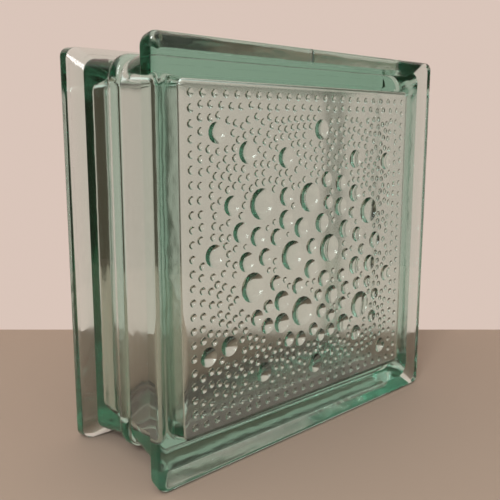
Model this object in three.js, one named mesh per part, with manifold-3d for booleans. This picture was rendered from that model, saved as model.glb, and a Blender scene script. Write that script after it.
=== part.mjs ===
// Hollow glass block for walls and partitions, standing upright as it is laid.
//
// The block is pressed as two open glass trays that are fused mouth to mouth. Each tray is
// one piece of glass: a smooth square face, a flange that stands out all round behind the
// face, a thinner body wall that the mortar grips, and half of the raised seam bead. The
// inner side of the front face carries a pattern of domed bubbles; the back face is plain.
//
// Millimetres. +X is the width, +Z is up and the front face looks along -Y. The origin is
// on the resting plane, under the middle of the block and on the seam plane.

import * as THREE from 'three';
import { mergeVertices } from 'three/addons/utils/BufferGeometryUtils.js';
import Module from 'manifold-3d';

// Overall size.
const BLOCK_WIDTH = 197;
const BLOCK_HEIGHT = 197;
const BLOCK_DEPTH = 79;

// Flange: the rim that stands proud of the body behind each face.
const FLANGE_PROJECTION = 5.5;
const RIM_DEPTH = 8.5;
const SHOULDER_DEPTH = 6;
const FACE_EDGE_RADIUS = 3;
const RIM_BACK_RADIUS = 1;
const FACE_CORNER_RADIUS = 4.5;
const RIM_CORNER_RADIUS = 6.5;

// Body wall, which narrows towards the seam, and the bead left where the trays are fused.
const BODY_TAPER = 1.5;
const BODY_CORNER_RADIUS = 7;
const SEAM_CORNER_RADIUS = 10.5;
const SEAM_BEAD_WIDTH = 9;
const SEAM_BEAD_PROJECTION = 2;

// Hollow inside.
const FACE_WALL = 10;
const SIDE_WALL_AT_SEAM = 6.7;
const CAVITY_DRAFT = 3.4;
const FRONT_FILLET = 2.5;
const BACK_FILLET = 5;
const CAVITY_CORNER_AT_SEAM = 7.5;
const CAVITY_CORNER_AT_FACE = 3.5;
const PANEL_CORNER_RADIUS = 1.5;

// Domed bubbles on the inner side of the front face: [right of centre, above centre, radius].
const LARGE_BUBBLES = [
  [-34, 25, 7.6],
  [-0.5, 26, 7.5],
  [47.5, 15.5, 7.3],
  [-13, -2.5, 7.6],
  [15, -2, 7.5],
  [-39.5, -15, 7.5],
  [-5, -33, 7.8],
  [42, -38, 7.7],
];
const MEDIUM_BUBBLES = [
  [-61, 58.5, 4.9],
  [-43, 49.5, 5.3],
  [-18, 46.5, 5.1],
  [7.5, 60, 5.2],
  [35, 44.5, 4.9],
  [62, 42.5, 4.8],
  [-52.5, 25.5, 4.8],
  [-17.5, 27.5, 4.7],
  [12, 34.5, 4.1],
  [23.5, 32, 4.4],
  [35, 26, 4.7],
  [-47, 12.5, 5],
  [-36.5, 9.5, 4.8],
  [-24, 8, 4.3],
  [-17.5, 16, 5],
  [-6.5, 11, 5.2],
  [9, 12, 5.2],
  [13.5, 22.5, 3.8],
  [23.5, 19.5, 5],
  [33.5, 15.5, 3.2],
  [27.5, 7, 5.1],
  [-63, 3.5, 5.3],
  [-43.5, -2, 4.9],
  [-31.5, -1, 4.4],
  [1.5, 0.5, 4.2],
  [38, 3, 4.2],
  [54, -2, 4.8],
  [-24.5, -15, 4],
  [1, -11.5, 5.1],
  [28.5, -7, 3.2],
  [42.5, -6, 3.2],
  [37, -14.5, 5.1],
  [49.5, -15, 4.9],
  [-8.5, -19, 4.4],
  [11, -18, 4.5],
  [25.5, -18.5, 3.8],
  [-20, -25, 5.3],
  [-29.5, -26, 3.4],
  [-37, -30.5, 4.1],
  [7, -26.5, 3.3],
  [17.5, -28, 5.1],
  [29, -26, 3.8],
  [39, -25, 3.6],
  [48.5, -25.5, 3.5],
  [65.5, -23, 4.7],
  [-30, -36, 4.1],
  [-20, -36.5, 5.2],
  [9.5, -35.5, 3.9],
  [26.5, -34, 3.5],
  [55.5, -34, 3.5],
  [-54.5, -41, 5],
  [17, -39.5, 3.6],
  [-67, -43.5, 4.8],
  [-15, -46, 4],
  [-6.5, -47.5, 4.1],
  [3.5, -44.5, 3.6],
  [27.5, -46, 5.2],
  [53.5, -47, 3.7],
  [9, -49, 3.6],
  [17, -47.5, 3.6],
  [39, -54, 4.4],
  [-32, -59.5, 5],
  [5.5, -64, 5.2],
  [62, -66.5, 4.4],
];
const LARGE_BUBBLE_RISE = 2.3;
const MEDIUM_BUBBLE_RISE = 1.8;

// Fineness of the curved surfaces.
const CORNER_STEPS = 5;
const EDGE_STEPS = 3;
const BEAD_STEPS = 4;
const FILLET_STEP = 2;
const LARGE_BUBBLE_SIDES = 16;
const MEDIUM_BUBBLE_SIDES = 12;
const BUBBLE_RINGS = 3;
const BUBBLE_ROOT = 1;
const WELD_TOLERANCE = 1e-4;

const halfDepth = BLOCK_DEPTH / 2;
const waistInset = FLANGE_PROJECTION + BODY_TAPER;
const seamInset = waistInset + SIDE_WALL_AT_SEAM;
const cavityInset = seamInset + CAVITY_DRAFT;
const innerFaceDepth = halfDepth - FACE_WALL;

// One ring of the tray: a rounded rectangle, inset from the block's outline, at a distance
// from the seam plane.
function ring(inset, cornerRadius, depth) {
  return { inset, cornerRadius, depth };
}

// Rings that follow a quarter round between two directions, centred at (inset, depth).
function roundedRings(centreInset, centreDepth, radius, fromAngle, toAngle, steps, cornerOf) {
  const rings = [];
  for (let step = 0; step <= steps; step += 1) {
    const angle = fromAngle + ((toAngle - fromAngle) * step) / steps;
    const inset = centreInset + radius * Math.cos(angle);
    const depth = centreDepth + radius * Math.sin(angle);
    rings.push(ring(inset, cornerOf(inset), depth));
  }
  return rings;
}

// A corner follows its inset, so that a rounded edge keeps one section all round.
function faceCorner(inset) {
  return FACE_CORNER_RADIUS - Math.min(inset, FACE_CORNER_RADIUS / 2);
}

function rimCorner(inset) {
  return RIM_CORNER_RADIUS - inset;
}

// From the flat of the face, over its rounded edge, along the rim and down the shoulder.
function flangeRings() {
  const backInset = RIM_BACK_RADIUS;
  const backDepth = halfDepth - RIM_DEPTH + RIM_BACK_RADIUS;
  const shoulderFoot = halfDepth - RIM_DEPTH - SHOULDER_DEPTH;
  const shoulderSlope = Math.atan2(FLANGE_PROJECTION, SHOULDER_DEPTH);
  return [
    ...roundedRings(FACE_EDGE_RADIUS, halfDepth - FACE_EDGE_RADIUS, FACE_EDGE_RADIUS,
      Math.PI / 2, Math.PI, EDGE_STEPS, faceCorner),
    ...roundedRings(backInset, backDepth, RIM_BACK_RADIUS,
      Math.PI, Math.PI + shoulderSlope, EDGE_STEPS - 1, rimCorner),
    ring(FLANGE_PROJECTION, BODY_CORNER_RADIUS, shoulderFoot),
  ];
}

// Half of the seam bead: a quarter ellipse that rises from the waist of the body to the seam.
function beadRings() {
  const rings = [];
  for (let step = 0; step <= BEAD_STEPS; step += 1) {
    const angle = ((Math.PI / 2) * step) / BEAD_STEPS;
    const inset = waistInset - SEAM_BEAD_PROJECTION * Math.sin(angle);
    const depth = (SEAM_BEAD_WIDTH / 2) * Math.cos(angle);
    rings.push(ring(inset, SEAM_CORNER_RADIUS, depth));
  }
  return rings;
}

// From the mouth of the hollow, up the drafted wall and round the fillet to the inner face.
// The hollow's corners tighten along the wall, and further round the fillet.
function cavityRings(fillet) {
  function cavityCorner(inset) {
    const share = (inset - cavityInset) / fillet;
    return CAVITY_CORNER_AT_FACE + (PANEL_CORNER_RADIUS - CAVITY_CORNER_AT_FACE) * share;
  }
  const steps = Math.max(EDGE_STEPS, Math.round(fillet / FILLET_STEP));
  return [
    ring(seamInset, CAVITY_CORNER_AT_SEAM, 0),
    ...roundedRings(cavityInset + fillet, innerFaceDepth - fillet, fillet,
      Math.PI, Math.PI / 2, steps, cavityCorner),
  ];
}

// The points of one ring, anticlockwise seen from the seam plane of the front tray.
function ringPoints({ inset, cornerRadius, depth }) {
  const points = [];
  const centreX = BLOCK_WIDTH / 2 - inset - cornerRadius;
  const centreZ = BLOCK_HEIGHT / 2 - inset - cornerRadius;
  const corners = [[1, 1], [-1, 1], [-1, -1], [1, -1]];
  corners.forEach(([sideX, sideZ], quarter) => {
    for (let step = 0; step <= CORNER_STEPS; step += 1) {
      const angle = (Math.PI / 2) * (quarter + step / CORNER_STEPS);
      const x = sideX * centreX + cornerRadius * Math.cos(angle);
      const z = sideZ * centreZ + cornerRadius * Math.sin(angle);
      points.push(x, -depth, z);
    }
  });
  return points;
}

// A tray as one closed skin: outer face, flange, body, bead, mouth, hollow and inner face.
function trayGeometry(fillet) {
  const rings = [...flangeRings(), ...beadRings(), ...cavityRings(fillet)];
  const sides = 4 * (CORNER_STEPS + 1);
  const positions = rings.flatMap(ringPoints);
  const outerCentre = rings.length * sides;
  const innerCentre = outerCentre + 1;
  positions.push(0, -halfDepth, 0, 0, -innerFaceDepth, 0);

  const triangles = [];
  for (let side = 0; side < sides; side += 1) {
    const next = (side + 1) % sides;
    triangles.push(outerCentre, side, next);
    for (let row = 0; row + 1 < rings.length; row += 1) {
      const near = row * sides;
      const far = near + sides;
      triangles.push(near + side, far + side, far + next);
      triangles.push(near + side, far + next, near + next);
    }
    const last = (rings.length - 1) * sides;
    triangles.push(innerCentre, last + next, last + side);
  }

  const geometry = new THREE.BufferGeometry();
  geometry.setAttribute('position', new THREE.Float32BufferAttribute(positions, 3));
  geometry.setIndex(triangles);
  return geometry;
}

// A bubble: a low dome on a short root that sinks into the face wall.
function bubbleGeometry([right, up, radius], rise, sides) {
  const sphereRadius = (radius * radius + rise * rise) / (2 * rise);
  const edgeAngle = Math.asin(radius / sphereRadius);
  const profile = [new THREE.Vector2(0, -BUBBLE_ROOT), new THREE.Vector2(radius, -BUBBLE_ROOT)];
  for (let level = 0; level <= BUBBLE_RINGS; level += 1) {
    const angle = edgeAngle * (1 - level / BUBBLE_RINGS);
    const reach = level === BUBBLE_RINGS ? 0 : sphereRadius * Math.sin(angle);
    profile.push(new THREE.Vector2(reach, sphereRadius * Math.cos(angle) - sphereRadius + rise));
  }
  const geometry = new THREE.LatheGeometry(profile, sides);
  geometry.translate(right, -innerFaceDepth, up);
  return geometry;
}

const wasm = await Module();
wasm.setup();

// A closed three.js geometry as a manifold solid, and back.
function toSolid(geometry) {
  const bare = geometry.clone();
  bare.deleteAttribute('normal');
  bare.deleteAttribute('uv');
  const merged = mergeVertices(bare, WELD_TOLERANCE);
  const mesh = new wasm.Mesh({
    numProp: 3,
    vertProperties: new Float32Array(merged.attributes.position.array),
    triVerts: new Uint32Array(merged.index.array),
  });
  return new wasm.Manifold(mesh);
}

function toGeometry(solid) {
  const mesh = solid.getMesh();
  const geometry = new THREE.BufferGeometry();
  geometry.setAttribute('position', new THREE.BufferAttribute(mesh.vertProperties, 3));
  geometry.setIndex(new THREE.BufferAttribute(mesh.triVerts, 1));
  geometry.computeVertexNormals();
  return geometry;
}

// Tray with the bubbles grown out of its inner face.
function patternedTrayGeometry() {
  let solid = toSolid(trayGeometry(FRONT_FILLET));
  const families = [
    [LARGE_BUBBLES, LARGE_BUBBLE_RISE, LARGE_BUBBLE_SIDES],
    [MEDIUM_BUBBLES, MEDIUM_BUBBLE_RISE, MEDIUM_BUBBLE_SIDES],
  ];
  for (const [bubbles, rise, sides] of families) {
    for (const bubble of bubbles) {
      solid = solid.add(toSolid(bubbleGeometry(bubble, rise, sides)));
    }
  }
  return toGeometry(solid);
}

function glassMaterial(name) {
  return new THREE.MeshStandardMaterial({
    name,
    color: 0xb4d2c2,
    roughness: 0.04,
    metalness: 0,
    transparent: true,
    opacity: 0.45,
  });
}

const frontHalf = new THREE.Mesh(patternedTrayGeometry(), glassMaterial('front_glass'));
frontHalf.name = 'front_half';
frontHalf.position.set(0, 0, BLOCK_HEIGHT / 2);

const backHalf = new THREE.Mesh(trayGeometry(BACK_FILLET), glassMaterial('back_glass'));
backHalf.name = 'back_half';
backHalf.position.set(0, 0, BLOCK_HEIGHT / 2);
backHalf.rotation.z = Math.PI;

const glassBlock = new THREE.Group();
glassBlock.name = 'glass_block';
glassBlock.add(frontHalf, backHalf);

export default glassBlock;
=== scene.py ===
"""Hollow glass block with a pressed bubble pattern, standing on a pale studio floor."""

import math
import random
from collections import namedtuple

import bpy
from mathutils import Euler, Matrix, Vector, kdtree

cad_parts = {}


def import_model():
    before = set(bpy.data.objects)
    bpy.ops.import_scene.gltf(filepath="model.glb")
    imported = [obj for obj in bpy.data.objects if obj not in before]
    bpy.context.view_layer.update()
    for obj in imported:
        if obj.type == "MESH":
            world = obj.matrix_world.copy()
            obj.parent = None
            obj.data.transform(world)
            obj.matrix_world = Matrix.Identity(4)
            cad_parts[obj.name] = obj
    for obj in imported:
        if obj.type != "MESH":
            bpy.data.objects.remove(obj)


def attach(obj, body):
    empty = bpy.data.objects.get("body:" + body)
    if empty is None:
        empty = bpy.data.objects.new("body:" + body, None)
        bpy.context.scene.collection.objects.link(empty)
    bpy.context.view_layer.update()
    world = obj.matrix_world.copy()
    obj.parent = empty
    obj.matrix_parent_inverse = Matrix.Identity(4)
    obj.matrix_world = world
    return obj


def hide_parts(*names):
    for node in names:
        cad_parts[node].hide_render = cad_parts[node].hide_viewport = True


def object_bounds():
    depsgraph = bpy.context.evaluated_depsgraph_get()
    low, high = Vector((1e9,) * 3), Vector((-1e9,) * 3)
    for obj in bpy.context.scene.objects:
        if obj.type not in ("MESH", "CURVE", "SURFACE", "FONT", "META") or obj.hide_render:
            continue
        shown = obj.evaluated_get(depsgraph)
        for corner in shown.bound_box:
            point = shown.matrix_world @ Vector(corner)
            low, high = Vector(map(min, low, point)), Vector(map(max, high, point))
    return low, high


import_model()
CAD_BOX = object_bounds()

# ---------------------------------------------------------------------------
# Sizes, in metres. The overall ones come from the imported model.
# ---------------------------------------------------------------------------
MM = 0.001
LOW, HIGH = CAD_BOX
WIDTH = HIGH.x - LOW.x
HEIGHT = HIGH.z - LOW.z
HALF_DEPTH = (HIGH.y - LOW.y) / 2
CENTRE_UP = (HIGH.z + LOW.z) / 2

# Flange behind each face, then the body wall, which narrows towards the bead on the seam.
FLANGE_PROJECTION = 5.5 * MM
RIM_DEPTH = 8.5 * MM
SHOULDER_DEPTH = 6 * MM
FACE_EDGE_RADIUS = 3 * MM
RIM_BACK_RADIUS = 1 * MM
FACE_CORNER_RADIUS = 4.5 * MM
RIM_CORNER_RADIUS = 6.5 * MM
BODY_TAPER = 1.5 * MM
BODY_CORNER_RADIUS = 7 * MM
SEAM_CORNER_RADIUS = 10.5 * MM
SEAM_BEAD_WIDTH = 9 * MM
SEAM_BEAD_PROJECTION = 2 * MM

# Hollow inside.
FACE_WALL = 10 * MM
SIDE_WALL_AT_SEAM = 6.7 * MM
CAVITY_DRAFT = 3.4 * MM
FRONT_FILLET = 2.5 * MM
BACK_FILLET = 5 * MM
CAVITY_CORNER_AT_SEAM = 7.5 * MM
CAVITY_CORNER_AT_FACE = 3.5 * MM
PANEL_CORNER_RADIUS = 1.5 * MM
INNER_SEAM_ROUND = 5 * MM

WAIST_INSET = FLANGE_PROJECTION + BODY_TAPER
BEAD_INSET = WAIST_INSET - SEAM_BEAD_PROJECTION
SEAM_INSET = WAIST_INSET + SIDE_WALL_AT_SEAM
CAVITY_INSET = SEAM_INSET + CAVITY_DRAFT
INNER_FACE_DEPTH = HALF_DEPTH - FACE_WALL

# Large and medium bubbles, and the small ones in the gaps between them: right of centre,
# above centre and radius, in millimetres.
LARGE_BUBBLES = [
    (-34, 25, 7.6), (-0.5, 26, 7.5), (47.5, 15.5, 7.3), (-13, -2.5, 7.6), (15, -2, 7.5),
    (-39.5, -15, 7.5), (-5, -33, 7.8), (42, -38, 7.7),
]
MEDIUM_BUBBLES = [
    (-61, 58.5, 4.9), (-43, 49.5, 5.3), (-18, 46.5, 5.1), (7.5, 60, 5.2), (35, 44.5, 4.9),
    (62, 42.5, 4.8), (-52.5, 25.5, 4.8), (-17.5, 27.5, 4.7), (12, 34.5, 4.1), (23.5, 32, 4.4),
    (35, 26, 4.7), (-47, 12.5, 5), (-36.5, 9.5, 4.8), (-24, 8, 4.3), (-17.5, 16, 5),
    (-6.5, 11, 5.2), (9, 12, 5.2), (13.5, 22.5, 3.8), (23.5, 19.5, 5), (33.5, 15.5, 3.2),
    (27.5, 7, 5.1), (-63, 3.5, 5.3), (-43.5, -2, 4.9), (-31.5, -1, 4.4), (1.5, 0.5, 4.2),
    (38, 3, 4.2), (54, -2, 4.8), (-24.5, -15, 4), (1, -11.5, 5.1), (28.5, -7, 3.2),
    (42.5, -6, 3.2), (37, -14.5, 5.1), (49.5, -15, 4.9), (-8.5, -19, 4.4), (11, -18, 4.5),
    (25.5, -18.5, 3.8), (-20, -25, 5.3), (-29.5, -26, 3.4), (-37, -30.5, 4.1), (7, -26.5, 3.3),
    (17.5, -28, 5.1), (29, -26, 3.8), (39, -25, 3.6), (48.5, -25.5, 3.5), (65.5, -23, 4.7),
    (-30, -36, 4.1), (-20, -36.5, 5.2), (9.5, -35.5, 3.9), (26.5, -34, 3.5), (55.5, -34, 3.5),
    (-54.5, -41, 5), (17, -39.5, 3.6), (-67, -43.5, 4.8), (-15, -46, 4), (-6.5, -47.5, 4.1),
    (3.5, -44.5, 3.6), (27.5, -46, 5.2), (53.5, -47, 3.7), (9, -49, 3.6), (17, -47.5, 3.6),
    (39, -54, 4.4), (-32, -59.5, 5), (5.5, -64, 5.2), (62, -66.5, 4.4),
]
GAP_BUBBLES = [
    (-25.5, 15.5, 1.5), (-30, 13, 1.5), (-12.5, 22.5, 1.7), (-16, 8.5, 1.3), (-47, 20.5, 1.8),
    (-44.5, 5.5, 1.3), (16, 28, 1.7), (16.5, 16, 1.5), (18, 12.5, 1.6), (37, 10, 1.5),
    (45.5, 1, 1.5), (-25, -4, 1.7), (-29, -8, 1.6), (-25, -8.5, 1.4), (-18, -14.5, 1.5),
    (-15, -18, 1.6), (-1.5, -19, 1.5), (27, -1, 1.6), (33.5, -4.5, 1.5), (3.5, -18.5, 1.6),
    (18.5, -15, 1.6), (18, -20, 1.5), (2, -23, 1.3), (43, -20.5, 1.6), (32.5, -31, 1.5),
    (20, -34.5, 1.3), (22, -38, 1.2), (-47, -26, 1.8), (-43, -29.5, 1.8), (33, -49.5, 1.6),
]

# How high they rise from the inner face; a small one's rise is a share of its radius.
LARGE_RISE = 2.3 * MM
MEDIUM_RISE = 1.8 * MM
SMALL_STEEPNESS = 0.52

# How fast a dome falls off: the power of the distance from its middle. Large domes, from this
# radius on, are the flattest on top and the steepest at their foot.
LARGE_FROM = 6 * MM
LARGE_CROWN = 3.0
PLAIN_CROWN = 2.0

# Other small bubbles: a straight row and a loose one along the edge of the panel, then a
# scatter that leaves the middle to the large ones. They are smaller to the right, and the
# scatter is closer there.
SMALL_RADIUS_LEFT = 1.9 * MM
SMALL_RADIUS_RIGHT = 1.5 * MM
SMALL_SPREAD = 0.05
BUBBLE_GAP = 0.4 * MM
ROW_INSET = 6 * MM
ROW_PITCH = 6.6 * MM
SECOND_ROW_STEP = 5.0 * MM
SECOND_ROW_PITCH = 5.8 * MM
SECOND_ROW_WANDER = 0.5 * MM
SCATTER_STEP = 4.4 * MM
SCATTER_PITCH_LEFT = 4.6 * MM
SCATTER_PITCH_RIGHT = 4.0 * MM
CALM_CENTRE = (1 * MM, -8 * MM)
CALM_REACH = (52 * MM, 40 * MM)
CALM_SQUARENESS = 2.5

# How the scatter is drawn, and then pushed apart until it is even. The first spacing is a
# share of the pitch, and a push is a share of what is missing to the pitch.
SCATTER_SEED = 11
SCATTER_TRIES = 9000
FIRST_SPACING = 0.82
EVENING_ROUNDS = 14
EVENING_PUSH = 0.35
SAME_PLACE = 1e-7

# Fineness of the glass surfaces. A support is a ring just beside a round, which keeps the
# shading of the flat next to it even.
CORNER_STEPS = 10
EDGE_STEPS = 7
BEAD_STEPS = 8
SEAM_STEPS = 8
DOME_SIDES = 16
DOME_RINGS = 4
SUPPORT = 0.4 * MM
SHARP_ANGLE = math.radians(17)

# Surface of the glass: roughness, and the heights of its waves.
CLEAR_ROUGHNESS = 0.01
PANEL_ROUGHNESS = 0.19
DOME_ROUGHNESS = 0.06
GROOVE_ROUGHNESS = 0.13
NICK_ROUGHNESS = 0.3
SKIN_WAVE = 0.24 * MM
GROOVE_WAVE = 0.4 * MM
SKIN_NOISE = {"Scale": 28.0, "Detail": 1.5, "Roughness": 0.4}
GROOVE_NOISE = {"Scale": 60.0, "Detail": 2.0, "Roughness": 0.5}

# Where each finish begins, and over what length it fades.
DOME_FOOT = 0.25 * MM
PANEL_SLACK = 0.2 * MM
GROOVE_START = 1 * MM
GROOVE_BLEND = 3 * MM
GROOVE_SLACK = 0.5 * MM

# A small nick down the upper front edge: where it starts, how it leans and how big it is.
NICK_RIGHT = -5.2 * MM
NICK_LEAN = 0.12
NICK_HALF_WIDTH = 0.9 * MM
NICK_LENGTH = 7.5 * MM
NICK_FADE = 1 * MM
NICK_DEPTH = 0.8 * MM

# Body of the glass.
GLASS_IOR = 1.52
GLASS_TINT = (0.16, 0.60, 0.46)
TINT_DENSITY = 16.0

# Floor, paper, room and lamp.
FLOOR_REACH = 0.4
FLOOR_COLOUR = (0.40, 0.315, 0.25)
FLOOR_ROUGHNESS = 0.6
FLOOR_SPECULAR = 0.2
PAPER_COLOUR = (0.70, 0.56, 0.49)
PAPER_AWAY = 0.5
PAPER_REACH = 0.42
PAPER_HEIGHT = 0.75
DIM_ROOM = (0.09, 0.065, 0.045)
CEILING = (1.1, 1.04, 0.97)
CEILING_FROM = 0.55
CEILING_BLEND = 0.2
KEY_PLACE = (-1.3, -0.9, 1.1)
KEY_AIM = (0.1, 0.1, 0.1)
KEY_SIZE = 0.8
KEY_POWER = 26

# Camera: close in front of the left edge, a little below the top of the block. The axis pixel
# is where the axis of the lens meets the picture, counted from its upper left corner.
FRAME_PIXELS = 500
FOCAL_PIXELS = 643.9
AXIS_PIXEL = (247.4, 241.7)
SENSOR_WIDTH = 36.0
CAMERA_PLACE = (-0.24356, -0.25631, 0.15757)
CAMERA_YAW = 42.04
CAMERA_PITCH = 9.72
CLIP_NEAR = 0.01
CLIP_FAR = 50.0

# How often light may bounce through the glass.
GLASS_BOUNCES = 24
GLOSSY_BOUNCES = 16


# ---------------------------------------------------------------------------
# The glass skin, built of rings: rounded rectangles stacked along the depth. A ring's inset
# counts from the edge of the block, its depth from the seam plane.
# ---------------------------------------------------------------------------
Ring = namedtuple("Ring", "inset corner depth")


def ring_points(ring):
    """Points of one ring, anticlockwise as seen from the front."""
    points = []
    centre_x = WIDTH / 2 - ring.inset - ring.corner
    centre_z = HEIGHT / 2 - ring.inset - ring.corner
    for quarter, (side_x, side_z) in enumerate(((1, 1), (-1, 1), (-1, -1), (1, -1))):
        for step in range(CORNER_STEPS + 1):
            angle = math.pi / 2 * (quarter + step / CORNER_STEPS)
            x = side_x * centre_x + ring.corner * math.cos(angle)
            z = side_z * centre_z + ring.corner * math.sin(angle)
            points.append((x, ring.depth, CENTRE_UP + z))
    return points


def arc_rings(centre, radius, from_angle, to_angle, corner_of):
    """Rings along a round, centred at (inset, depth); the angle opens from the inset axis."""
    rings = []
    for step in range(EDGE_STEPS + 1):
        angle = from_angle + (to_angle - from_angle) * step / EDGE_STEPS
        inset = centre[0] + radius * math.cos(angle)
        depth = centre[1] + radius * math.sin(angle)
        rings.append(Ring(inset, corner_of(inset), depth))
    return rings


def front_to_back(front, seam, back):
    """All rings in order, from two halves that both run from their face to the seam."""
    mirrored = [ring._replace(depth=-ring.depth) for ring in front]
    return mirrored + [seam] + back[::-1]


def mesh_from_rings(name, rings):
    """A closed skin, facing outward, with a flat cap at both ends."""
    sides = 4 * (CORNER_STEPS + 1)
    points = [point for ring in rings for point in ring_points(ring)]
    faces = []
    for row in range(len(rings) - 1):
        near, far = row * sides, (row + 1) * sides
        for side in range(sides):
            following = (side + 1) % sides
            faces.append((near + side, far + side, far + following, near + following))
    last = (len(rings) - 1) * sides
    faces.append(tuple(range(sides)))
    faces.append(tuple(reversed(range(last, last + sides))))
    mesh = bpy.data.meshes.new(name)
    mesh.from_pydata(points, [], faces)
    mesh.update()
    return mesh


def face_corner(inset):
    """The corner follows the inset, so the rounded edge keeps one section all round."""
    return FACE_CORNER_RADIUS - min(inset, FACE_CORNER_RADIUS / 2)


def rim_corner(inset):
    return RIM_CORNER_RADIUS - inset


def body_corner(inset):
    """The body's corners grow rounder towards the seam."""
    share = (inset - FLANGE_PROJECTION) / BODY_TAPER
    return BODY_CORNER_RADIUS + (SEAM_CORNER_RADIUS - BODY_CORNER_RADIUS) * share


def half_outer_rings():
    """One tray's outside, from the flat of its face to just short of the seam bead's crest."""
    foot = HALF_DEPTH - RIM_DEPTH - SHOULDER_DEPTH
    half_bead = SEAM_BEAD_WIDTH / 2
    face_round = (FACE_EDGE_RADIUS, HALF_DEPTH - FACE_EDGE_RADIUS)
    rim_round = (RIM_BACK_RADIUS, HALF_DEPTH - RIM_DEPTH + RIM_BACK_RADIUS)
    slope = math.atan2(FLANGE_PROJECTION, SHOULDER_DEPTH)
    rings = [Ring(FACE_EDGE_RADIUS + SUPPORT, face_corner(FACE_EDGE_RADIUS), HALF_DEPTH)]
    rings += arc_rings(face_round, FACE_EDGE_RADIUS, math.pi / 2, math.pi, face_corner)
    rings += arc_rings(rim_round, RIM_BACK_RADIUS, math.pi, math.pi + slope, rim_corner)
    for depth in (foot, foot - SUPPORT, half_bead + SUPPORT):
        inset = FLANGE_PROJECTION + BODY_TAPER * (foot - depth) / (foot - half_bead)
        rings.append(Ring(inset, body_corner(inset), depth))
    for step in range(BEAD_STEPS):
        angle = math.pi / 2 * step / BEAD_STEPS
        inset = WAIST_INSET - SEAM_BEAD_PROJECTION * math.sin(angle)
        rings.append(Ring(inset, SEAM_CORNER_RADIUS, half_bead * math.cos(angle)))
    return rings


def outer_rings():
    """The whole outside, from the front face round to the back face."""
    half = half_outer_rings()
    return front_to_back(half, Ring(BEAD_INSET, SEAM_CORNER_RADIUS, 0), half)


def fillet_corner(inset, fillet):
    """The hollow's corners tighten round the fillet, up to the flat of the inner face."""
    share = (inset - CAVITY_INSET) / fillet
    return CAVITY_CORNER_AT_FACE + (PANEL_CORNER_RADIUS - CAVITY_CORNER_AT_FACE) * share


def wall_corner(share):
    """They tighten along the drafted wall too; the share counts from the seam."""
    return CAVITY_CORNER_AT_SEAM + (CAVITY_CORNER_AT_FACE - CAVITY_CORNER_AT_SEAM) * share


def wall_inset(depth, wall_end):
    """The drafted wall of the hollow, rounded where it crosses the seam."""
    def rise(at):
        return math.hypot(at, INNER_SEAM_ROUND) - INNER_SEAM_ROUND
    return SEAM_INSET + CAVITY_DRAFT * rise(depth) / rise(wall_end)


def half_cavity_rings(fillet):
    """One tray's hollow, from the flat of its inner face to just short of the seam."""
    centre = (CAVITY_INSET + fillet, INNER_FACE_DEPTH - fillet)
    rings = [Ring(centre[0] + SUPPORT, PANEL_CORNER_RADIUS, INNER_FACE_DEPTH)]
    rings += arc_rings(centre, fillet, math.pi / 2, math.pi,
                       lambda inset: fillet_corner(inset, fillet))
    for step in range(1, SEAM_STEPS):
        share = (1 - step / SEAM_STEPS) ** 2
        depth = centre[1] * share
        rings.append(Ring(wall_inset(depth, centre[1]), wall_corner(share), depth))
    return rings


def cavity_rings():
    """The whole hollow, from the patterned inner face to the plain one."""
    mouth = Ring(SEAM_INSET, CAVITY_CORNER_AT_SEAM, 0)
    return front_to_back(half_cavity_rings(FRONT_FILLET), mouth, half_cavity_rings(BACK_FILLET))


# ---------------------------------------------------------------------------
# Where the bubbles sit: x and z count from the middle of the panel.
# ---------------------------------------------------------------------------
Bubble = namedtuple("Bubble", "x z radius rise")


def placed_bubbles():
    """Bubbles with a place of their own."""
    placed = []
    for family, rise in ((LARGE_BUBBLES, LARGE_RISE), (MEDIUM_BUBBLES, MEDIUM_RISE)):
        for right, up, radius in family:
            placed.append(Bubble(right * MM, up * MM, radius * MM, rise))
    for right, up, radius in GAP_BUBBLES:
        placed.append(Bubble(right * MM, up * MM, radius * MM, SMALL_STEEPNESS * radius * MM))
    return placed


def across(x, at_left, at_right):
    """A value that changes evenly from the left of the panel to its right."""
    share = 0.5 + x / (WIDTH - 2 * CAVITY_INSET)
    return at_left + (at_right - at_left) * min(1.0, max(0.0, share))


def small_radius(x):
    return across(x, SMALL_RADIUS_LEFT, SMALL_RADIUS_RIGHT)


def scatter_pitch(x):
    return across(x, SCATTER_PITCH_LEFT, SCATTER_PITCH_RIGHT)


def calm(x, z):
    """True in the middle of the panel, where the large bubbles leave no room for a scatter."""
    far_x = abs(x - CALM_CENTRE[0]) / CALM_REACH[0]
    far_z = abs(z - CALM_CENTRE[1]) / CALM_REACH[1]
    return far_x ** CALM_SQUARENESS + far_z ** CALM_SQUARENESS < 1


def clear(x, z, placed):
    """True where a small bubble keeps its distance from those with a place of their own."""
    reach = small_radius(x) * (1 + SMALL_SPREAD) + BUBBLE_GAP
    return all(math.hypot(x - b.x, z - b.z) > b.radius + reach for b in placed)


def edge_row(half_width, half_height, pitch, wander, rng):
    """Evenly spaced places along the four edges of a rectangle, each moved a little."""
    places = []
    columns = round(2 * half_width / pitch)
    rows = round(2 * half_height / pitch)
    for step in range(columns):
        x = -half_width + 2 * half_width * step / columns
        places += [(x, -half_height), (-x, half_height)]
    for step in range(rows):
        z = -half_height + 2 * half_height * step / rows
        places += [(half_width, z), (-half_width, -z)]
    return [(x + rng.uniform(-wander, wander), z + rng.uniform(-wander, wander)) for x, z in places]


def first_scatter(room, placed, rng):
    """Random places that keep a first distance from each other."""
    scatter = []
    for _ in range(SCATTER_TRIES):
        x, z = rng.uniform(-room[0], room[0]), rng.uniform(-room[1], room[1])
        if calm(x, z) or not clear(x, z, placed):
            continue
        spacing = FIRST_SPACING * scatter_pitch(x)
        if all(math.hypot(x - a, z - b) > spacing for a, b in scatter):
            scatter.append((x, z))
    return scatter


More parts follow.
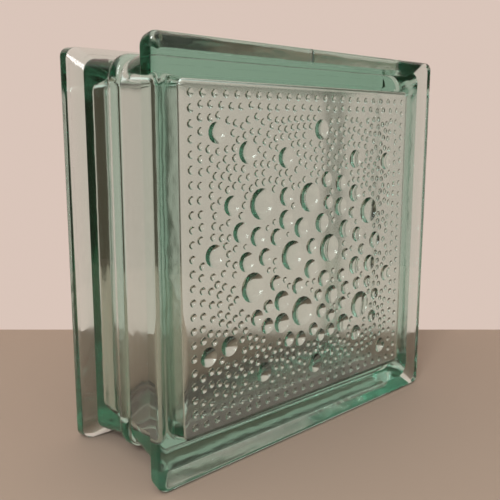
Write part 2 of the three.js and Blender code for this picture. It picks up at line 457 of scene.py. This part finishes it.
def pushed(x, z, tree, room):
    """One place, moved away from every neighbour that is nearer than the pitch."""
    pitch = scatter_pitch(x)
    push = Vector((0, 0))
    for (a, b, _), _index, distance in tree.find_range((x, z, 0), pitch):
        if distance > SAME_PLACE:
            push += Vector((x - a, z - b)) / distance * (pitch - distance) * EVENING_PUSH
    new_x = max(-room[0], min(room[0], x + push.x))
    new_z = max(-room[1], min(room[1], z + push.y))
    return new_x, new_z


def evened(scatter, rows, placed, room):
    """The scatter after its close neighbours have pushed each other apart."""
    for _ in range(EVENING_ROUNDS):
        everything = scatter + rows
        tree = kdtree.KDTree(len(everything))
        for index, (x, z) in enumerate(everything):
            tree.insert((x, z, 0), index)
        tree.balance()
        moved = []
        for x, z in scatter:
            new_x, new_z = pushed(x, z, tree, room)
            moved.append((new_x, new_z) if clear(new_x, new_z, placed) else (x, z))
        scatter = moved
    return scatter


def small_bubbles(placed):
    """Small bubbles: rows along the edges, then an even scatter inside them."""
    rng = random.Random(SCATTER_SEED)
    half_width = WIDTH / 2 - CAVITY_INSET - ROW_INSET
    half_height = HEIGHT / 2 - CAVITY_INSET - ROW_INSET
    rows = edge_row(half_width, half_height, ROW_PITCH, 0, rng)
    half_width, half_height = half_width - SECOND_ROW_STEP, half_height - SECOND_ROW_STEP
    rows += edge_row(half_width, half_height, SECOND_ROW_PITCH, SECOND_ROW_WANDER, rng)
    rows = [(x, z) for x, z in rows if clear(x, z, placed)]
    room = (half_width - SCATTER_STEP, half_height - SCATTER_STEP)
    scatter = evened(first_scatter(room, placed, rng), rows, placed, room)
    found = []
    for x, z in rows + scatter:
        radius = small_radius(x) * (1 + rng.uniform(-SMALL_SPREAD, SMALL_SPREAD))
        found.append(Bubble(x, z, radius, SMALL_STEEPNESS * small_radius(x)))
    return found


# ---------------------------------------------------------------------------
# Node trees written as expressions.
# ---------------------------------------------------------------------------
class Wire:
    """A node socket that takes part in arithmetic and adds its own Math nodes."""

    def __init__(self, tree, socket):
        self.tree, self.socket = tree, socket

    def maths(self, operation, *values):
        node = self.tree.nodes.new("ShaderNodeMath")
        node.operation = operation
        for slot, value in zip(node.inputs, values):
            plug(self.tree, value, slot)
        return Wire(self.tree, node.outputs[0])

    def __add__(self, other):
        return self.maths("ADD", self, other)

    def __radd__(self, other):
        return self.maths("ADD", other, self)

    def __sub__(self, other):
        return self.maths("SUBTRACT", self, other)

    def __rsub__(self, other):
        return self.maths("SUBTRACT", other, self)

    def __neg__(self):
        return 0 - self

    def __mul__(self, other):
        return self.maths("MULTIPLY", self, other)

    def __rmul__(self, other):
        return self.maths("MULTIPLY", other, self)

    def __truediv__(self, other):
        return self.maths("DIVIDE", self, other)

    def __pow__(self, other):
        return self.maths("POWER", self, other)

    def __abs__(self):
        return self.maths("ABSOLUTE", self)

    def above(self, other):
        return self.maths("GREATER_THAN", self, other)

    def larger(self, other):
        return self.maths("MAXIMUM", self, other)

    def clamped(self, low=0.0, high=1.0):
        return self.maths("MINIMUM", self.larger(low), high)


def plug(tree, value, socket):
    """Link a wire to a socket, or set the socket's own value."""
    if isinstance(value, Wire):
        tree.links.new(value.socket, socket)
    else:
        socket.default_value = value


def add_node(tree, node_type, settings=None, output=None, **inputs):
    """A node of any type: its settings first, then its inputs by name, spaces written as _.

    Gives the output of the given name, or else the first one, where the node has any.
    """
    node = tree.nodes.new(node_type)
    for key, value in (settings or {}).items():
        setattr(node, key, value)
    for key, value in inputs.items():
        socket = next(s for s in node.inputs if s.name.replace(" ", "_") == key and s.enabled)
        plug(tree, value, socket)
    matching = [s for s in node.outputs if s.enabled and output in (None, s.name)]
    return Wire(tree, matching[0]) if matching else None


def outputs_of(tree, node_type, **inputs):
    """Every output of a node, by name."""
    node = add_node(tree, node_type, **inputs).socket.node
    return {socket.name: Wire(tree, socket) for socket in node.outputs}


def split(tree, vector):
    """The three parts of a vector, each a wire."""
    return outputs_of(tree, "ShaderNodeSeparateXYZ", Vector=vector).values()


def combine(tree, x, y, z):
    return add_node(tree, "ShaderNodeCombineXYZ", X=x, Y=y, Z=z)


def blend(tree, share, first, second):
    """A Mix Shader, whose two shader inputs have the same name."""
    mix = add_node(tree, "ShaderNodeMixShader")
    for socket, value in zip(mix.socket.node.inputs, (share, first, second)):
        plug(tree, value, socket)
    return mix


# ---------------------------------------------------------------------------
# Geometry Nodes: the bubbles are pressed out of the inner face.
# ---------------------------------------------------------------------------
TREE_INPUTS = {
    "Geometry": "NodeSocketGeometry",
    "Hollow": "NodeSocketObject",
    "Bubble Places": "NodeSocketObject",
    "Dome Sides": "NodeSocketInt",
    "Dome Rings": "NodeSocketInt",
    "Glass": "NodeSocketMaterial",
}
SMALLEST_DIVISOR = 1e-4


def object_geometry(tree, source):
    return add_node(tree, "GeometryNodeObjectInfo", {"transform_space": "ORIGINAL"},
                    output="Geometry", Object=source)


def number_attribute(tree, name):
    return add_node(tree, "GeometryNodeInputNamedAttribute", {"data_type": "FLOAT"}, Name=name)


def flat_dome(tree, given):
    """A disc of rings with a root below it, made from a cone that is pressed flat.

    Each of its points keeps its reach: nought in the middle of the disc, one at the edge.
    """
    rings = given["Dome Rings"]
    cone = add_node(tree, "GeometryNodeMeshCone", {"fill_type": "NGON"},
                    Vertices=given["Dome Sides"], Side_Segments=rings + 1,
                    Radius_Top=0.0, Radius_Bottom=1.0, Depth=1.0)
    x, y, z = split(tree, add_node(tree, "GeometryNodeInputPosition"))
    level = z * (rings + 1) - 1
    reach = 1 - (level / rings).clamped()
    squeeze = reach / (1 - z).clamped(SMALLEST_DIVISOR, 1.0)
    root = (-level).above(0.5)
    marked = add_node(tree, "GeometryNodeStoreNamedAttribute", {"data_type": "FLOAT"},
                      Geometry=cone, Name="reach", Value=reach)
    flat = combine(tree, x * squeeze, y * squeeze, -root)
    return add_node(tree, "GeometryNodeSetPosition", Geometry=marked, Position=flat)


def raised_domes(tree, given):
    """A dome on every bubble's place, lying on the inner face and raised into the hollow."""
    radius, rise, turn, crown, reach = (
        number_attribute(tree, name) for name in ("radius", "rise", "turn", "crown", "reach"))
    domes = add_node(tree, "GeometryNodeInstanceOnPoints",
                     Points=object_geometry(tree, given["Bubble Places"]),
                     Instance=flat_dome(tree, given),
                     Rotation=combine(tree, -math.pi / 2, turn, 0.0),
                     Scale=combine(tree, radius, radius, rise))
    domes = add_node(tree, "GeometryNodeRealizeInstances", Geometry=domes)
    lift = combine(tree, 0.0, rise * (1 - reach ** crown), 0.0)
    return add_node(tree, "GeometryNodeSetPosition", Geometry=domes, Offset=lift)


def bubble_tree():
    """Domes on points, cut out of the hollow; the hollow is then joined to the outer skin."""
    tree = bpy.data.node_groups.new("bubble_pressing", "GeometryNodeTree")
    tree.interface.new_socket("Geometry", in_out="OUTPUT", socket_type="NodeSocketGeometry")
    for name, socket_type in TREE_INPUTS.items():
        tree.interface.new_socket(name, in_out="INPUT", socket_type=socket_type)
    given = outputs_of(tree, "NodeGroupInput")
    pressed = add_node(tree, "GeometryNodeMeshBoolean",
                       {"operation": "DIFFERENCE", "solver": "MANIFOLD"},
                       Mesh_1=object_geometry(tree, given["Hollow"]),
                       Mesh_2=raised_domes(tree, given))
    inside = add_node(tree, "GeometryNodeFlipFaces", Mesh=pressed)
    both = add_node(tree, "GeometryNodeJoinGeometry", Geometry=inside)
    plug(tree, given["Geometry"], both.socket.node.inputs["Geometry"])
    shown = add_node(tree, "GeometryNodeSetMaterial", Geometry=both, Material=given["Glass"])
    add_node(tree, "NodeGroupOutput", Geometry=shown)
    return tree


# ---------------------------------------------------------------------------
# The block.
# ---------------------------------------------------------------------------
def in_scene(name, data):
    made = bpy.data.objects.new(name, data)
    bpy.context.scene.collection.objects.link(made)
    return made


def place_object(bubbles):
    """One vertex for each bubble, with its radius, rise, crown and turn as attributes."""
    mesh = bpy.data.meshes.new("bubble_places")
    mesh.from_pydata([(b.x, -INNER_FACE_DEPTH, CENTRE_UP + b.z) for b in bubbles], [], [])
    rng = random.Random(SCATTER_SEED + 1)
    columns = {
        "radius": [b.radius for b in bubbles],
        "rise": [b.rise for b in bubbles],
        "crown": [LARGE_CROWN if b.radius > LARGE_FROM else PLAIN_CROWN for b in bubbles],
        "turn": [rng.uniform(0, math.pi) for _ in bubbles],
    }
    for name, values in columns.items():
        mesh.attributes.new(name, "FLOAT", "POINT").data.foreach_set("value", values)
    return in_scene("bubble_places", mesh)


def pressed_mesh(outside, inputs):
    """The outer skin after the bubble tree, as a plain mesh."""
    modifier = outside.modifiers.new("bubble_pressing", "NODES")
    modifier.node_group = bubble_tree()
    for item in modifier.node_group.interface.items_tree:
        if item.in_out == "INPUT" and item.name in inputs:
            modifier[item.identifier] = inputs[item.name]
    outside.update_tag()
    bpy.context.view_layer.update()
    evaluated = outside.evaluated_get(bpy.context.evaluated_depsgraph_get())
    return bpy.data.meshes.new_from_object(evaluated)


def fused_block(glass):
    """The two pressed trays as one skin of glass: outside, hollow and bubbles."""
    outside = in_scene("outside_skin", mesh_from_rings("outside_skin", outer_rings()))
    hollow = in_scene("hollow_skin", mesh_from_rings("hollow_skin", cavity_rings()))
    placed = placed_bubbles()
    places = place_object(placed + small_bubbles(placed))
    mesh = pressed_mesh(outside, {
        "Hollow": hollow, "Bubble Places": places, "Dome Sides": DOME_SIDES,
        "Dome Rings": DOME_RINGS, "Glass": glass,
    })
    for helper in (outside, hollow, places):
        bpy.data.objects.remove(helper)
    mesh.name = "fused_glass_block"
    mesh.shade_smooth()
    mesh.set_sharp_from_angle(angle=SHARP_ANGLE)
    return in_scene("fused_glass_block", mesh)


# ---------------------------------------------------------------------------
# The glass.
# ---------------------------------------------------------------------------
def on_panel(x, y, z):
    """One on the patterned inner face, nought on the rest of the glass."""
    half_panel = WIDTH / 2 - CAVITY_INSET
    near_face = 1 - abs(y + INNER_FACE_DEPTH - LARGE_RISE / 2).above(LARGE_RISE / 2 + PANEL_SLACK)
    return near_face * (1 - abs(x).above(half_panel)) * (1 - abs(z - CENTRE_UP).above(half_panel))


def in_groove(x, z):
    """One on the body wall between the flanges, falling to nought towards the rims."""
    inset = WIDTH / 2 - abs(x).larger(abs(z - CENTRE_UP))
    rises = ((inset - GROOVE_START) / GROOVE_BLEND).clamped()
    return rises * (1 - inset.above(WAIST_INSET + GROOVE_SLACK))


def in_nick(x, y, z):
    """One along the middle of the nick, falling to nought at its sides and its lower end."""
    down = HIGH.z - z
    aside = abs(x - NICK_RIGHT + NICK_LEAN * down) / NICK_HALF_WIDTH
    on_front = (-y).above(HALF_DEPTH - FACE_EDGE_RADIUS)
    return (1 - aside).clamped() * ((NICK_LENGTH - down) / NICK_FADE).clamped() * on_front


def surface_roughness(x, y, z):
    """The flat between the bubbles is frosted a little, and so are the groove and the nick.

    The domes are smooth, and the other glass is clear.
    """
    on_dome = (abs(y + INNER_FACE_DEPTH) / DOME_FOOT).clamped()
    frosting = PANEL_ROUGHNESS + (DOME_ROUGHNESS - PANEL_ROUGHNESS) * on_dome - CLEAR_ROUGHNESS
    groove = (GROOVE_ROUGHNESS - CLEAR_ROUGHNESS) * in_groove(x, z)
    nick = (NICK_ROUGHNESS - CLEAR_ROUGHNESS) * in_nick(x, y, z)
    return CLEAR_ROUGHNESS + frosting * on_panel(x, y, z) + groove + nick


def surface_height(tree, spot, x, y, z):
    """Soft waves everywhere, ripples in the groove, and the nick."""
    wave = add_node(tree, "ShaderNodeTexNoise", Vector=spot, **SKIN_NOISE)
    ripple = add_node(tree, "ShaderNodeTexNoise", Vector=spot, **GROOVE_NOISE)
    height = wave * SKIN_WAVE + (ripple - 0.5) * GROOVE_WAVE * in_groove(x, z)
    return height - NICK_DEPTH * in_nick(x, y, z)


def empty_material(name):
    material = bpy.data.materials.new(name)
    material.use_nodes = True
    material.node_tree.nodes.clear()
    return material


def glass_material():
    """Green-tinted pressed glass: wavy skin, a tint that deepens with the length of the path."""
    material = empty_material("pressed_green_glass")
    tree = material.node_tree
    spot = add_node(tree, "ShaderNodeTexCoord", output="Object")
    x, y, z = split(tree, spot)
    bump = add_node(tree, "ShaderNodeBump", Strength=1.0, Distance=1.0,
                    Height=surface_height(tree, spot, x, y, z))
    skin = add_node(tree, "ShaderNodeBsdfPrincipled", Base_Color=(1, 1, 1, 1),
                    Roughness=surface_roughness(x, y, z), IOR=GLASS_IOR,
                    Transmission_Weight=1.0, Normal=bump)
    tint = add_node(tree, "ShaderNodeVolumeAbsorption", Color=(*GLASS_TINT, 1),
                    Density=TINT_DENSITY)
    add_node(tree, "ShaderNodeOutputMaterial", Surface=skin, Volume=tint)
    return material


# ---------------------------------------------------------------------------
# Stage, light and camera.
# ---------------------------------------------------------------------------
def floor_material():
    material = empty_material("pale_floor")
    tree = material.node_tree
    surface = add_node(tree, "ShaderNodeBsdfPrincipled", Base_Color=(*FLOOR_COLOUR, 1),
                       Roughness=FLOOR_ROUGHNESS, Specular_IOR_Level=FLOOR_SPECULAR)
    add_node(tree, "ShaderNodeOutputMaterial", Surface=surface)
    return material


def paper_material():
    """Warm white paper, evenly bright to the eye and through glass, and seen only from its front."""
    material = empty_material("warm_white_paper")
    tree = material.node_tree
    paper = add_node(tree, "ShaderNodeBsdfDiffuse", Color=(*PAPER_COLOUR, 1))
    bright = add_node(tree, "ShaderNodeEmission", Color=(*PAPER_COLOUR, 1), Strength=1.0)
    nothing = add_node(tree, "ShaderNodeBsdfTransparent")
    ray = outputs_of(tree, "ShaderNodeLightPath")
    looked_at = ray["Is Camera Ray"] + ray["Is Glossy Ray"] + ray["Is Transmission Ray"]
    behind = add_node(tree, "ShaderNodeNewGeometry", output="Backfacing")
    lit = blend(tree, looked_at.clamped(), paper, bright)
    add_node(tree, "ShaderNodeOutputMaterial", Surface=blend(tree, behind, lit, nothing))
    return material


def stage_sheet(name, corners, material):
    """A single flat sheet of the stage."""
    mesh = bpy.data.meshes.new(name)
    mesh.from_pydata(corners, [], [(0, 1, 2, 3)])
    mesh.materials.append(material)
    made = in_scene(name, mesh)


def floor():
    reach = FLOOR_REACH
    corners = [(-reach, -reach, 0), (reach, -reach, 0), (reach, reach, 0), (-reach, reach, 0)]
    stage_sheet("studio_floor", corners, floor_material())


def backdrop():
    """A board of pale paper that stands behind the block and faces the camera."""
    yaw = math.radians(CAMERA_YAW)
    ahead = Vector((math.sin(yaw), math.cos(yaw), 0))
    aside = Vector((math.cos(yaw), -math.sin(yaw), 0))
    foot = Vector((CAMERA_PLACE[0], CAMERA_PLACE[1], 0)) + ahead * PAPER_AWAY
    rise = Vector((0, 0, PAPER_HEIGHT))
    left, right = foot - aside * PAPER_REACH, foot + aside * PAPER_REACH
    stage_sheet("paper_backdrop", [left, right, right + rise, left + rise], paper_material())


def world():
    """A dim, plain room under a pale ceiling."""
    made = bpy.data.worlds.new("studio")
    bpy.context.scene.world = made
    made.use_nodes = True
    tree = made.node_tree
    tree.nodes.clear()
    _, _, up = split(tree, add_node(tree, "ShaderNodeTexCoord", output="Generated"))
    overhead = ((up - CEILING_FROM) / CEILING_BLEND).clamped()
    shade = add_node(tree, "ShaderNodeMix", {"data_type": "RGBA"}, Factor=overhead,
                     A=(*DIM_ROOM, 1), B=(*CEILING, 1))
    back = add_node(tree, "ShaderNodeBackground", Color=shade, Strength=1.0)
    add_node(tree, "ShaderNodeOutputWorld", Surface=back)


def key_softbox():
    """A square lamp in front of the block, above the camera and to its left."""
    lamp = bpy.data.lights.new("key_softbox", "AREA")
    lamp.shape, lamp.size = "SQUARE", KEY_SIZE
    lamp.energy = KEY_POWER
    made = in_scene("key_softbox", lamp)
    made.location = KEY_PLACE
    made.rotation_euler = (Vector(KEY_AIM) - Vector(KEY_PLACE)).to_track_quat("-Z", "Y").to_euler()


def camera():
    lens = bpy.data.cameras.new("camera")
    lens.sensor_width = SENSOR_WIDTH
    lens.lens = SENSOR_WIDTH * FOCAL_PIXELS / FRAME_PIXELS
    lens.shift_x = (FRAME_PIXELS / 2 - AXIS_PIXEL[0]) / FRAME_PIXELS
    lens.shift_y = (AXIS_PIXEL[1] - FRAME_PIXELS / 2) / FRAME_PIXELS
    lens.clip_start, lens.clip_end = CLIP_NEAR, CLIP_FAR
    made = in_scene("camera", lens)
    made.location = CAMERA_PLACE
    made.rotation_euler = Euler((math.radians(90 - CAMERA_PITCH), 0, math.radians(-CAMERA_YAW)))
    bpy.context.scene.camera = made


def light_paths():
    """Enough bounces for light to cross both trays, and no caustics."""
    cycles = bpy.context.scene.cycles
    cycles.max_bounces = GLASS_BOUNCES
    cycles.transmission_bounces = GLASS_BOUNCES
    cycles.glossy_bounces = GLOSSY_BOUNCES
    cycles.caustics_refractive = False
    cycles.caustics_reflective = False


block = fused_block(glass_material())
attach(block, "root")
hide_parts("front_half", "back_half")

floor()
backdrop()
world()
key_softbox()
camera()
light_paths()
bpy.context.scene.view_settings.view_transform = "Standard"
